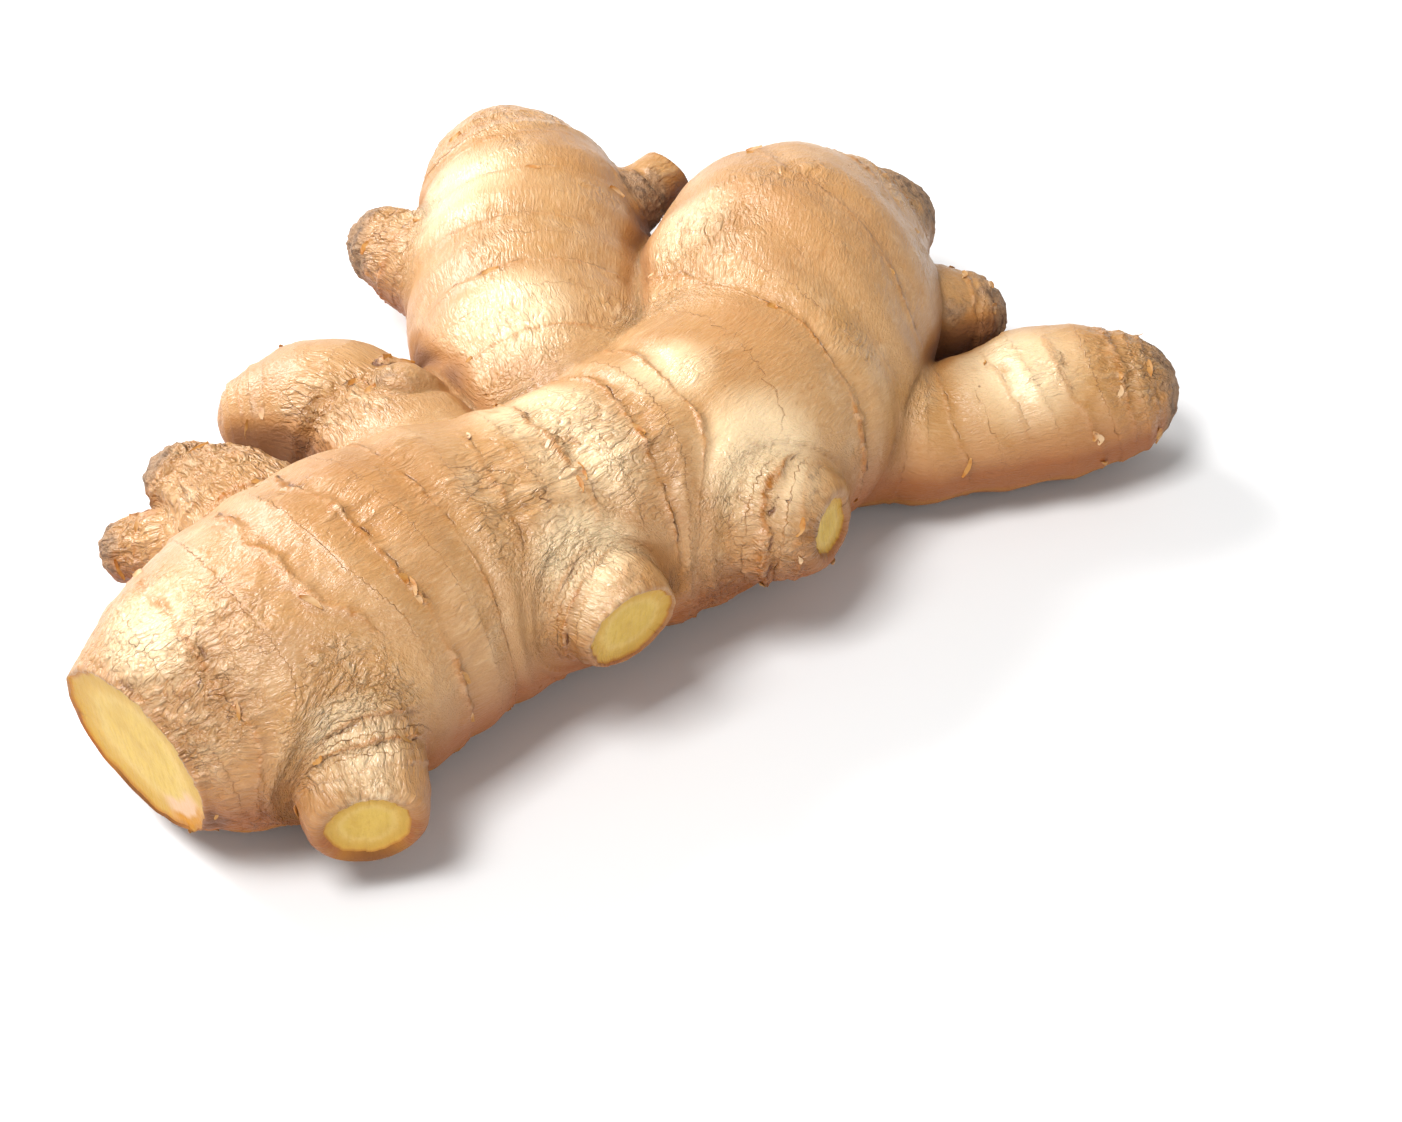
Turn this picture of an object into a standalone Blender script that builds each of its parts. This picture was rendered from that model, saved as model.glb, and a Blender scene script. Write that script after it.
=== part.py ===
"""A hand of fresh ginger root, lying on its flatter side.

One rhizome that grew as one piece: a thick mother lobe with a cut end, a crown
where the hand forks, two large upper lobes, a long side arm, short stubs and
small buds. Lengths below are in millimetres and are turned into metres once.
The origin is at the middle of the underside and +Z is up.
"""
import bpy
from mathutils import Vector

MM = 0.001

NODE = "rhizome"
COLLECTION = "ginger_root"

# The field that the surface is drawn from
FLATNESS = 0.92            # height of a lobe's section over its width
GRID_STEP = 4.6            # spacing of the samples that the faces follow
BOX_LOW = (-106, -104, -9)
BOX_HIGH = (104, 104, 61)
OUTSIDE = -10.0            # value of the field far from the root

# Each finger grows along a centre line, from its base to its tip:
# (x, y, z, radius) in millimetres. SOFT_JOIN is for a finger that swells out of
# the hand in a wide curve, TIGHT_JOIN for one that leaves it at a crease.
SOFT_JOIN = 0.40
LOBE_JOIN = 0.35
TIGHT_JOIN = 0.15
FINGERS = {
    "mother_lobe": (SOFT_JOIN, [
        (-79, -75, 20, 11.4), (-74, -71, 21, 15.4), (-66, -66, 22, 20.6), (-57, -60, 23, 24.0),
        (-47, -51, 23, 24.8), (-36, -41, 23, 23.0), (-24, -35, 23, 21.6), (-11, -26, 23, 19.2)]),
    "crown": (SOFT_JOIN, [
        (-15, -29, 23, 19.5), (-3, -21, 23, 20.5), (8, -10, 23, 21.5), (21, 3, 23, 21.5)]),
    "right_lobe": (LOBE_JOIN, [
        (20, 7, 23, 21.5), (24, 28, 23, 24.6), (26, 44, 22, 22.0), (35, 54, 21, 13.6),
        (42, 57, 22, 9.2)]),
    "side_arm": (LOBE_JOIN, [
        (23, 9, 19, 18.0), (36, 7, 15, 12.8), (47, 6, 13, 11.3), (59, 10, 13, 11.8),
        (70, 14, 14, 13.6), (81, 16, 14, 11.8)]),
    "left_lobe": (LOBE_JOIN, [
        (-17, 4, 21, 18.5), (-22, 31, 19, 20.0), (-23, 56, 19, 19.3), (-28, 77, 18, 13.6),
        (-29, 87, 17, 6.6)]),
    "front_stub": (TIGHT_JOIN, [
        (-47, -69, 30, 10.8), (-45, -78, 21, 10.6), (-43, -86, 16, 9.6), (-41, -93, 14, 3.6)]),
    "middle_stub": (TIGHT_JOIN, [
        (-20, -42, 26, 11.4), (-12, -48, 26, 10.8), (-5, -52, 26, 9.8), (2, -56, 25, 5.4)]),
    "crown_stub": (TIGHT_JOIN, [
        (6, -18, 22, 14.8), (13, -25, 24, 13.2), (19, -26, 24, 12.2), (24, -26, 23, 10.4),
        (28, -26, 22, 6.8)]),
    "rear_lobe": (LOBE_JOIN, [
        (-38, -18, 22, 14.0), (-48, -1, 21, 12.5), (-59, 4, 21, 12.0), (-66, 3, 20, 9.0)]),
    "rear_bud": (TIGHT_JOIN, [
        (-60, -37, 22, 15.0), (-70, -24, 24, 10.0), (-77, -19, 24, 7.4)]),
    "rear_nub": (TIGHT_JOIN, [
        (-73, -30, 20, 8.5), (-85, -27, 16, 6.5)]),
    "left_bud": (LOBE_JOIN, [
        (-38, 44, 19, 10.6), (-48, 51, 20, 8.2)]),
    "right_bud": (TIGHT_JOIN, [
        (44, 34, 19, 10.6), (56, 36, 17, 8.0)]),
    "cut_bud": (LOBE_JOIN, [
        (-9, 56, 23, 7.4), (1, 69, 23, 5.0)]),
    "notch_knob": (LOBE_JOIN, [
        (-40, -3, 29, 4.6), (-42, -4, 33, 3.6)]),
}

# Knife cuts: the middle of the cut face, the way the face looks, and half the
# width of the block that takes the end off
CUTS = {
    "mother_cut": ((-80, -76.5, 17.5), (-0.69, -0.715, -0.10), 26),
    "front_cut": ((-42, -90, 14), (0.22, -0.97, -0.06), 12),
    "middle_cut": ((-0.5, -54, 24), (0.61, -0.78, -0.12), 12),
    "crown_cut": ((31.5, -28, 21), (0.89, -0.45, 0.10), 12),
    "bud_cut": ((2.5, 71, 23.5), (0.63, 0.70, 0.35), 6),
}
CUT_DEPTH = 24             # how far a cutting block reaches beyond its face
FLOOR_BLOCK = 240          # side of the block that flattens the underside
FLOOR_DEPTH = 20

SKIN_COLOUR = (0.66, 0.45, 0.24, 1.0)
SKIN_ROUGHNESS = 0.55


def clear_scene():
    for old in list(bpy.data.objects):
        bpy.data.objects.remove(old)


def new_collection(name):
    collection = bpy.data.collections.new(name)
    bpy.context.scene.collection.children.link(collection)
    return collection


def skin_material():
    material = bpy.data.materials.new("ginger_skin")
    material.use_nodes = True
    shader = material.node_tree.nodes["Principled BSDF"]
    shader.inputs["Base Color"].default_value = SKIN_COLOUR
    shader.inputs["Roughness"].default_value = SKIN_ROUGHNESS
    shader.inputs["Metallic"].default_value = 0.0
    return material


def math(tree, operation, *values, clamp=False):
    """Adds a Math node. A value is a number or another node's output."""
    node = tree.nodes.new("ShaderNodeMath")
    node.operation = operation
    node.use_clamp = clamp
    for socket, value in zip(node.inputs, values):
        if isinstance(value, bpy.types.NodeSocket):
            tree.links.new(value, socket)
        else:
            socket.default_value = value
    return node.outputs[0]


def vector_math(tree, operation, *values, scale=None):
    """Adds a Vector Math node. A value is a vector or another node's output."""
    node = tree.nodes.new("ShaderNodeVectorMath")
    node.operation = operation
    for socket, value in zip(node.inputs, values):
        if isinstance(value, bpy.types.NodeSocket):
            tree.links.new(value, socket)
        else:
            socket.default_value = value
    if scale is not None:
        tree.links.new(scale, node.inputs["Scale"])
    gives_number = operation in ("DOT_PRODUCT", "DISTANCE")
    return node.outputs["Value" if gives_number else "Vector"]


def joint(tree, place, start, end):
    """Distance from a place to the skin of one tapered stretch of a finger."""
    unflatten = Vector((1, 1, 1 / FLATNESS))
    a = Vector(start[:3]) * unflatten * MM
    b = Vector(end[:3]) * unflatten * MM
    along = b - a
    from_start = vector_math(tree, "SUBTRACT", place, a)
    progress = vector_math(tree, "DOT_PRODUCT", from_start, along)
    progress = math(tree, "DIVIDE", progress, along.length_squared, clamp=True)
    nearest = vector_math(tree, "SCALE", along, scale=progress)
    distance = vector_math(tree, "DISTANCE", from_start, nearest)
    growth = (end[3] - start[3]) * MM
    radius = math(tree, "MULTIPLY_ADD", progress, growth, start[3] * MM)
    return math(tree, "SUBTRACT", distance, radius)


def root_tree():
    """Geometry nodes: fingers melted into one field, and the surface where it is 0."""
    tree = bpy.data.node_groups.new("grow_root", "GeometryNodeTree")
    tree.interface.new_socket("Geometry", in_out="OUTPUT", socket_type="NodeSocketGeometry")
    position = tree.nodes.new("GeometryNodeInputPosition").outputs["Position"]
    place = vector_math(tree, "MULTIPLY", position, (1, 1, 1 / FLATNESS))
    field = None
    for softness, points in FINGERS.values():
        for start, end in zip(points, points[1:]):
            skin = joint(tree, place, start, end)
            melt = softness * (start[3] + end[3]) / 2 * MM
            field = skin if field is None else math(tree, "SMOOTH_MIN", field, skin, melt)

    volume = tree.nodes.new("GeometryNodeVolumeCube")
    volume.inputs["Background"].default_value = OUTSIDE * MM
    volume.inputs["Min"].default_value = Vector(BOX_LOW) * MM
    volume.inputs["Max"].default_value = Vector(BOX_HIGH) * MM
    for axis, low, high in zip("XYZ", BOX_LOW, BOX_HIGH):
        volume.inputs[f"Resolution {axis}"].default_value = round((high - low) / GRID_STEP)
    tree.links.new(math(tree, "MULTIPLY", field, -1.0), volume.inputs["Density"])

    surface = tree.nodes.new("GeometryNodeVolumeToMesh")
    surface.inputs["Threshold"].default_value = 0.0
    tree.links.new(volume.outputs["Volume"], surface.inputs["Volume"])
    triangles = tree.nodes.new("GeometryNodeTriangulate")
    tree.links.new(surface.outputs["Mesh"], triangles.inputs["Mesh"])
    output = tree.nodes.new("NodeGroupOutput")
    tree.links.new(triangles.outputs["Mesh"], output.inputs["Geometry"])
    return tree


def cutter(collection, name, centre, half_sides, facing=(0, 0, 1)):
    """A block whose own Z looks along facing."""
    bpy.ops.mesh.primitive_cube_add(size=2)
    block = bpy.context.object
    block.name = name
    block.scale = Vector(half_sides) * MM
    block.rotation_euler = Vector(facing).to_track_quat("Z", "Y").to_euler()
    block.location = Vector(centre) * MM
    block.hide_render = True
    block.display_type = "WIRE"
    for holder in list(block.users_collection):
        holder.objects.unlink(block)
    collection.objects.link(block)
    return block


def cutting_blocks(collection):
    blocks = []
    for name, (middle, facing, half_width) in CUTS.items():
        facing = Vector(facing).normalized()
        centre = Vector(middle) + facing * CUT_DEPTH / 2
        sides = (half_width, half_width, CUT_DEPTH / 2)
        blocks.append(cutter(collection, name, centre, sides, facing))
    below = (0, 0, -FLOOR_DEPTH / 2)
    sides = (FLOOR_BLOCK / 2, FLOOR_BLOCK / 2, FLOOR_DEPTH / 2)
    blocks.append(cutter(collection, "underside_block", below, sides))
    return blocks


def build():
    clear_scene()
    parts = new_collection(COLLECTION)
    blocks = cutting_blocks(new_collection("cutters"))
    root = bpy.data.objects.new(NODE, bpy.data.meshes.new(NODE))
    parts.objects.link(root)
    root.data.materials.append(skin_material())
    grow = root.modifiers.new("grow", "NODES")
    grow.node_group = root_tree()
    for block in blocks:
        cut = root.modifiers.new(block.name, "BOOLEAN")
        cut.operation = "DIFFERENCE"
        cut.solver = "EXACT"
        cut.object = block


build()
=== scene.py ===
# %% [markdown]
# # A hand of fresh ginger
# A ginger root is a rhizome: an underground stem that swells, forks and buds. The whole hand grew
# as one piece, so it is modelled as one closed skin. Its look comes from four things: fat lobes
# that melt into each other, thin rings where leaf scales once sat, silky fibres that run from ring
# to ring, and pale yellow flesh where a knife took an end off. Lengths here are in millimetres
# and are turned into metres at the last moment.

# %% Load the fixed frame
import bmesh
import bpy
import math
import numpy as np
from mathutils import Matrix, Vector
from types import SimpleNamespace


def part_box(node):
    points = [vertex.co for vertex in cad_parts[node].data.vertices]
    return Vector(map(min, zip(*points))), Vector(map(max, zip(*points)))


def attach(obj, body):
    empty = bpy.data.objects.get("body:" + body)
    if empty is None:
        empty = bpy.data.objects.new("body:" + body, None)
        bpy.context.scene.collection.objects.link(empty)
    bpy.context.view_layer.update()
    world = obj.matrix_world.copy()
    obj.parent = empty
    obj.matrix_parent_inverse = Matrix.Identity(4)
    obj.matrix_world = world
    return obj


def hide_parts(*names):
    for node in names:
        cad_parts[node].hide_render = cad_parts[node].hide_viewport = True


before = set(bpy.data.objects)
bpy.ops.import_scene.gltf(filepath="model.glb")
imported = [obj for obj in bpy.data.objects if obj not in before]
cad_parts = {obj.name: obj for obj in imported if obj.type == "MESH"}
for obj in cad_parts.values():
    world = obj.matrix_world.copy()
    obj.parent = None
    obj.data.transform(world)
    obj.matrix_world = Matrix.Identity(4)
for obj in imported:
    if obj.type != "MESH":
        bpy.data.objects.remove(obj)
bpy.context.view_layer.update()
MM = 0.001             # the scene is in metres
NODE = "rhizome"       # the solid model's one node and the body it rides
BODY = "root"
root_low, root_high = (np.array(corner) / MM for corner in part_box(NODE))
print("root box in mm:", root_low.round(1), root_high.round(1))

# %% [markdown]
# ## Writing node trees as sums
# Node trees are easier to read as formulas. A `Wire` is one value on its way through a tree, and
# adding or multiplying wires adds the Math nodes. Every other node comes from `Graph.node`, which
# sets the node's own settings first and then its inputs.

# %% Wires and graphs
class Wire:
    """One value in a node tree. Arithmetic on it adds Math nodes."""

    def __init__(self, graph, socket):
        self.graph, self.socket = graph, socket

    def maths(self, operation, *values, clamp=False):
        """One Math node, with its answer kept between 0 and 1 if clamp is set."""
        settings = {"operation": operation, "use_clamp": clamp}
        return self.graph.node("ShaderNodeMath", settings, values)

    def __add__(self, other):
        return self.maths("ADD", self, other)

    def __sub__(self, other):
        return self.maths("SUBTRACT", self, other)

    def __rsub__(self, other):
        return self.maths("SUBTRACT", other, self)

    def __mul__(self, other):
        return self.maths("MULTIPLY", self, other)

    def __truediv__(self, other):
        return self.maths("DIVIDE", self, other)

    def __neg__(self):
        return self.maths("MULTIPLY", self, -1.0)

    def __abs__(self):
        return self.maths("ABSOLUTE", self)

    __radd__ = __add__
    __rmul__ = __mul__

    def clamped(self):
        """The value, kept between 0 and 1."""
        return self.maths("ADD", self, 0.0, clamp=True)

    def smaller(self, other):
        """The smaller of the two."""
        return self.maths("MINIMUM", self, other)

    def bell(self, middle, width):
        """1 at the middle, falling to 0 over about twice the width."""
        away = (self - middle) / width
        return self.maths("EXPONENT", -(away * away))

    def step(self, low, high):
        """0 below low, 1 above high, a soft step between. low may be the larger one."""
        settings = {"interpolation_type": "SMOOTHSTEP"}
        if low > high:
            return 1.0 - self.step(high, low)
        return self.graph.node("ShaderNodeMapRange", settings,
                               {"Value": self, "From Min": low, "From Max": high})


class Graph:
    """A node tree that is written as expressions."""

    def __init__(self, tree):
        self.tree = tree

    def feed(self, socket, value):
        """Links a wire to a socket, or sets the socket to a plain value."""
        if isinstance(value, Wire):
            self.tree.links.new(value.socket, socket)
        elif value is not None:
            socket.default_value = value

    def node(self, kind, settings=None, values=(), out=0):
        """Adds a node: settings first, then its inputs, in order or by name."""
        node = self.tree.nodes.new(kind)
        for name, setting in (settings or {}).items():
            setattr(node, name, setting)
        named = values.items() if isinstance(values, dict) else enumerate(values)
        for name, value in named:
            self.feed(node.inputs[name], value)
        return Wire(self, node.outputs[out])

    def vectors(self, operation, *values):
        """A Vector Math node. Its answer is a number for a length or a dot product."""
        number = operation in ("DOT_PRODUCT", "DISTANCE", "LENGTH")
        out = "Value" if number else "Vector"
        return self.node("ShaderNodeVectorMath", {"operation": operation}, values, out)

    def stretched(self, vector, factor):
        """The vector times a number."""
        return self.node("ShaderNodeVectorMath", {"operation": "SCALE"},
                         {"Vector": vector, "Scale": factor})

    def noise(self, vector, size, detail=2.0, roughness=0.5, along=None, out=0):
        """Noise with blotches of the given size. along adds a fourth, stretched direction."""
        values = {"Vector": self.stretched(vector, 1 / size), "Scale": 1.0,
                  "Detail": detail, "Roughness": roughness}
        values |= {} if along is None else {"W": along}
        dimensions = "3D" if along is None else "4D"
        return self.node("ShaderNodeTexNoise", {"noise_dimensions": dimensions}, values, out)

    def input(self, name, kind, default):
        """A named input of a geometry tree, as a wire."""
        sockets = self.tree.interface
        socket = sockets.new_socket(name, in_out="INPUT", socket_type=kind)
        if default is not None:
            socket.default_value = default
        group = self.tree.nodes.new("NodeGroupInput")
        return Wire(self, group.outputs[name])

    def stored(self, name, kind="FLOAT"):
        """What the mesh carries under this name, in a geometry tree."""
        return self.node("GeometryNodeInputNamedAttribute", {"data_type": kind}, {"Name": name})

    def finish(self, name, geometry, material):
        """Ends a geometry tree: real faces in one material go out under the name."""
        real = self.node("GeometryNodeRealizeInstances", {}, [geometry])
        dressed = self.node("GeometryNodeSetMaterial", {},
                            {"Geometry": real, "Material": material})
        self.tree.interface.new_socket(name, in_out="OUTPUT", socket_type="NodeSocketGeometry")
        group = self.tree.nodes.new("NodeGroupOutput")
        self.feed(group.inputs[name], dressed)
        return self.tree


print("node helpers:", [name for name in vars(Graph) if not name.startswith("_")])

# %% [markdown]
# ## The way it grew
# Every finger of the hand is a centre line with a thickness. The table gives each finger's
# parent, how softly it melts into the rest, and its points from base to tip as x, y, z and
# radius. These are the design's own lines, so the fine skin lands on the solid model. The mother
# lobe, the crown and the right lobe follow each other, the others branch off.

# %% Centre lines of the fingers
FLATNESS = 0.92        # height of a lobe's section over its width
FINGERS = {
    "mother_lobe": (None, 0.40, [
        (-79, -75, 20, 11.4), (-74, -71, 21, 15.4), (-66, -66, 22, 20.6), (-57, -60, 23, 24.0),
        (-47, -51, 23, 24.8), (-36, -41, 23, 23.0), (-24, -35, 23, 21.6), (-11, -26, 23, 19.2)]),
    "crown": ("mother_lobe", 0.40, [
        (-15, -29, 23, 19.5), (-3, -21, 23, 20.5), (8, -10, 23, 21.5), (21, 3, 23, 21.5)]),
    "right_lobe": ("crown", 0.35, [
        (20, 7, 23, 21.5), (24, 28, 23, 24.6), (26, 44, 22, 22.0), (35, 54, 21, 13.6),
        (42, 57, 22, 9.2)]),
    "side_arm": ("crown", 0.35, [
        (23, 9, 19, 18.0), (36, 7, 15, 12.8), (47, 6, 13, 11.3), (59, 10, 13, 11.8),
        (70, 14, 14, 13.6), (81, 16, 14, 11.8)]),
    "left_lobe": ("crown", 0.35, [
        (-17, 4, 21, 18.5), (-22, 31, 19, 20.0), (-23, 56, 19, 19.3), (-28, 77, 18, 13.6),
        (-29, 87, 17, 6.6)]),
    "front_stub": ("mother_lobe", 0.15, [
        (-47, -69, 30, 10.8), (-45, -78, 21, 10.6), (-43, -86, 16, 9.6), (-41, -93, 14, 3.6)]),
    "middle_stub": ("mother_lobe", 0.15, [
        (-20, -42, 26, 11.4), (-12, -48, 26, 10.8), (-5, -52, 26, 9.8), (2, -56, 25, 5.4)]),
    "crown_stub": ("crown", 0.15, [
        (6, -18, 22, 14.8), (13, -25, 24, 13.2), (19, -26, 24, 12.2), (24, -26, 23, 10.4),
        (28, -26, 22, 6.8)]),
    "rear_lobe": ("mother_lobe", 0.35, [
        (-38, -18, 22, 14.0), (-48, -1, 21, 12.5), (-59, 4, 21, 12.0), (-66, 3, 20, 9.0)]),
    "rear_bud": ("mother_lobe", 0.15, [
        (-60, -37, 22, 15.0), (-70, -24, 24, 10.0), (-77, -19, 24, 7.4)]),
    "rear_nub": ("rear_bud", 0.15, [
        (-73, -30, 20, 8.5), (-85, -27, 16, 6.5)]),
    "left_bud": ("left_lobe", 0.35, [
        (-38, 44, 19, 10.6), (-48, 51, 20, 8.2)]),
    "right_bud": ("right_lobe", 0.15, [
        (44, 34, 19, 10.6), (56, 36, 17, 8.0)]),
    "cut_bud": ("left_lobe", 0.35, [
        (-9, 56, 23, 7.4), (1, 69, 23, 5.0)]),
    "notch_knob": ("left_lobe", 0.35, [
        (-40, -3, 29, 4.6), (-42, -4, 33, 3.6)]),
}
BONE_LENGTH = 6.0      # the centre lines are walked in steps of about this


def curved(points):
    """Walks a smooth curve through the points, thickness included (Catmull-Rom)."""
    points = np.array(points, float)
    # One extra point past each end tells the curve how to leave and arrive.
    ends = np.vstack([2 * points[0] - points[1], points, 2 * points[-1] - points[-2]])
    walk = [points[0]]
    for before, start, end, after in zip(ends, ends[1:], ends[2:], ends[3:]):
        steps = max(1, round(np.linalg.norm((end - start)[:3]) / BONE_LENGTH))
        for t in np.arange(1, steps + 1) / steps:
            bend = (2 * start + (end - before) * t
                    + (2 * before - 5 * start + 4 * end - after) * t ** 2
                    + (3 * start - before - 3 * end + after) * t ** 3)
            walk.append(bend / 2)
    return np.array(walk)


UNFLATTEN = np.array([1, 1, 1 / FLATNESS, 1])   # sections are round in this stretched space
paths = {name: curved(points) * UNFLATTEN for name, (_, _, points) in FINGERS.items()}
print("fingers:", len(paths), "bones:", sum(len(path) - 1 for path in paths.values()))

# %% [markdown]
# ## Growing the skin
# Each stretch of a finger is a tapered rod. The distance to all the rods is melted together with
# a smooth minimum, and the skin is where that distance is nought. Geometry Nodes can do this in
# one loop: a Repeat Zone walks over the bones, a Volume Cube samples the result, and Volume to
# Mesh draws the skin. This is how soft forks come out without any modelling by hand.

# %% Bones as points with attributes
def bones_object():
    """A point for each bone: where it starts, its reach, its two radii and its melt, in mm."""
    starts, reaches, radii, melts = [], [], [], []
    for name, path in paths.items():
        softness = FINGERS[name][1]
        for start, end in zip(path, path[1:]):
            starts.append(start[:3])
            reaches.append(end[:3] - start[:3])
            radii.append((start[3], end[3] - start[3]))
            melts.append(softness * (start[3] + end[3]) / 2)
    mesh = bpy.data.meshes.new("bones")
    mesh.from_pydata([tuple(start) for start in starts], [], [])
    reach = mesh.attributes.new("reach", "FLOAT_VECTOR", "POINT")
    reach.data.foreach_set("vector", np.array(reaches).ravel())
    for name, numbers in (("radius", [r for r, _ in radii]), ("growth", [g for _, g in radii]),
                          ("melt", melts)):
        attribute = mesh.attributes.new(name, "FLOAT", "POINT")
        attribute.data.foreach_set("value", np.array(numbers))
    return added("bones", mesh)


# %% The loop that melts the bones together
OUTSIDE = -20.0        # value of the field far from the root


def melted_distance(graph, bones):
    """Distance from any place to the skin: a loop over the bones with a smooth minimum."""
    rods = graph.node("GeometryNodeObjectInfo", {}, {"Object": bones}, "Geometry")
    count = graph.node("GeometryNodeAttributeDomainSize", {"component": "MESH"}, [rods])
    start = graph.tree.nodes.new("GeometryNodeRepeatInput")
    finish = graph.tree.nodes.new("GeometryNodeRepeatOutput")
    start.pair_with_output(finish)
    finish.repeat_items.clear()
    finish.repeat_items.new("FLOAT", "Distance")
    graph.feed(start.inputs["Iterations"], count)
    start.inputs["Distance"].default_value = -OUTSIDE
    turn = Wire(graph, start.outputs["Iteration"])
    before = Wire(graph, start.outputs["Distance"])

    def of_bone(value, kind="FLOAT"):
        return graph.node("GeometryNodeSampleIndex", {"data_type": kind},
                          {"Geometry": rods, "Value": value, "Index": turn})

    place = graph.node("GeometryNodeInputPosition")
    here = graph.vectors("MULTIPLY", place, tuple(UNFLATTEN[:3]))
    away = graph.vectors("SUBTRACT", here, of_bone(place, "FLOAT_VECTOR"))
    reach = of_bone(graph.stored("reach", "FLOAT_VECTOR"), "FLOAT_VECTOR")
    squared = graph.vectors("DOT_PRODUCT", reach, reach)
    progress = (graph.vectors("DOT_PRODUCT", away, reach) / squared).clamped()
    gap = graph.vectors("DISTANCE", away, graph.stretched(reach, progress))
    skin = gap - of_bone(graph.stored("radius")) - progress * of_bone(graph.stored("growth"))
    melted = before.maths("SMOOTH_MIN", before, skin, of_bone(graph.stored("melt")))
    graph.feed(finish.inputs["Distance"], melted)
    return Wire(graph, finish.outputs["Distance"])


# %% The growing tree
def growing_tree():
    """Samples the melted distance in a box and draws the skin where it is nought."""
    graph = Graph(bpy.data.node_groups.new("grow_skin", "GeometryNodeTree"))
    low = graph.input("Box low", "NodeSocketVector", (0, 0, 0))
    high = graph.input("Box high", "NodeSocketVector", (1, 1, 1))
    spacing = graph.input("Spacing", "NodeSocketFloat", 1.0)
    bones = graph.input("Bones", "NodeSocketObject", None)
    look = graph.input("Material", "NodeSocketMaterial", None)

    size = graph.vectors("SUBTRACT", high, low)
    steps = graph.node("ShaderNodeCombineXYZ", {}, [spacing] * 3)
    counts = graph.tree.nodes.new("ShaderNodeSeparateXYZ")
    graph.feed(counts.inputs[0], graph.vectors("DIVIDE", size, steps))
    field = melted_distance(graph, bones)
    values = {"Density": -field, "Background": OUTSIDE, "Min": low, "Max": high}
    values |= {f"Resolution {axis}": Wire(graph, counts.outputs[axis]) for axis in "XYZ"}
    volume = graph.node("GeometryNodeVolumeCube", {}, values)
    skin = graph.node("GeometryNodeVolumeToMesh", {}, {"Volume": volume, "Threshold": 0.0})
    return graph.finish("Skin", skin, look)


# %% Run a geometry tree once and keep the plain mesh
def added(name, data):
    """An object with this mesh, lamp or camera, put in the scene."""
    thing = bpy.data.objects.new(name, data)
    bpy.context.scene.collection.objects.link(thing)
    return thing


def collected(mesh, tree, values, keep=None):
    """The mesh that the tree makes from mesh, with its inputs set by name. keep is the share
    of its triangles to keep, thinned where the surface is smooth."""
    worker = added("worker", mesh)
    modifier = worker.modifiers.new("tree", "NODES")
    modifier.node_group = tree
    for socket in tree.interface.items_tree:
        if socket.in_out == "INPUT" and socket.name in values:
            modifier[socket.identifier] = values[socket.name]
    if keep:
        worker.modifiers.new("thin", "DECIMATE").ratio = keep
    evaluated = worker.evaluated_get(bpy.context.evaluated_depsgraph_get())
    result = bpy.data.meshes.new_from_object(evaluated)
    worker.modifiers.clear()
    bpy.data.objects.remove(worker)
    result.materials.clear()       # Volume to Mesh puts an empty slot before the material
    result.materials.append(values["Material"])
    return result


def places(mesh):
    """The places of a mesh's points, one row each."""
    numbers = np.empty(len(mesh.vertices) * 3)
    mesh.vertices.foreach_get("co", numbers)
    return numbers.reshape(-1, 3)


def report(title, mesh):
    """Prints a mesh's faces and box."""
    place = places(mesh)
    print(title, len(mesh.polygons), "faces, box", place.min(0).round(1), place.max(0).round(1))


# %% Grow the skin
MARGIN = 4             # room round the root in the sampled box
SPACING = 0.62         # between the samples
ginger_skin = bpy.data.materials.new("ginger_skin")     # its nodes come further down
skeleton = bones_object()
skin = collected(bpy.data.meshes.new("empty"), growing_tree(), {
    "Box low": tuple(root_low - MARGIN), "Box high": tuple(root_high + MARGIN),
    "Spacing": SPACING, "Bones": skeleton, "Material": ginger_skin})
bpy.data.objects.remove(skeleton)
report("grown skin:", skin)

# %% [markdown]
# ## Knowing where on the root you are
# Rings, fibres and colours follow the growth, so every point of the skin needs to know how far
# along its finger it grew and where it sits around the centre line. Both are found by looking for
# the nearest bones and blending them, so that the pattern flows from a lobe into its branches.

# %% Growth coordinates
BLEND = 1.5            # how sharply a point belongs to its nearest bone, in mm
RING_TILT = {          # how far rings lean on a finger: mm along for each mm sideways
    "right_lobe": (0.7, 0, 0), "crown": (0.2, 0, -0.1), "mother_lobe": (0, 0, 0.1),
    "side_arm": (0, 0, 0.2)}


def nearest_on(path, place):
    """Distance walked along a path to its point nearest to a place."""
    lengths = np.linalg.norm(np.diff(path[:, :3], axis=0), axis=1)
    walked = np.concatenate([[0], np.cumsum(lengths)])
    return walked[np.argmin(np.linalg.norm(path[:, :3] - place, axis=1))]


started = {}           # growth length at the base of each finger
for name, (parent, _, _) in FINGERS.items():
    started[name] = 0.0 if parent is None else (
        started[parent] + nearest_on(paths[parent], paths[name][0, :3]))
print("growth length at each base:", {name: round(float(far)) for name, far in started.items()})

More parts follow.
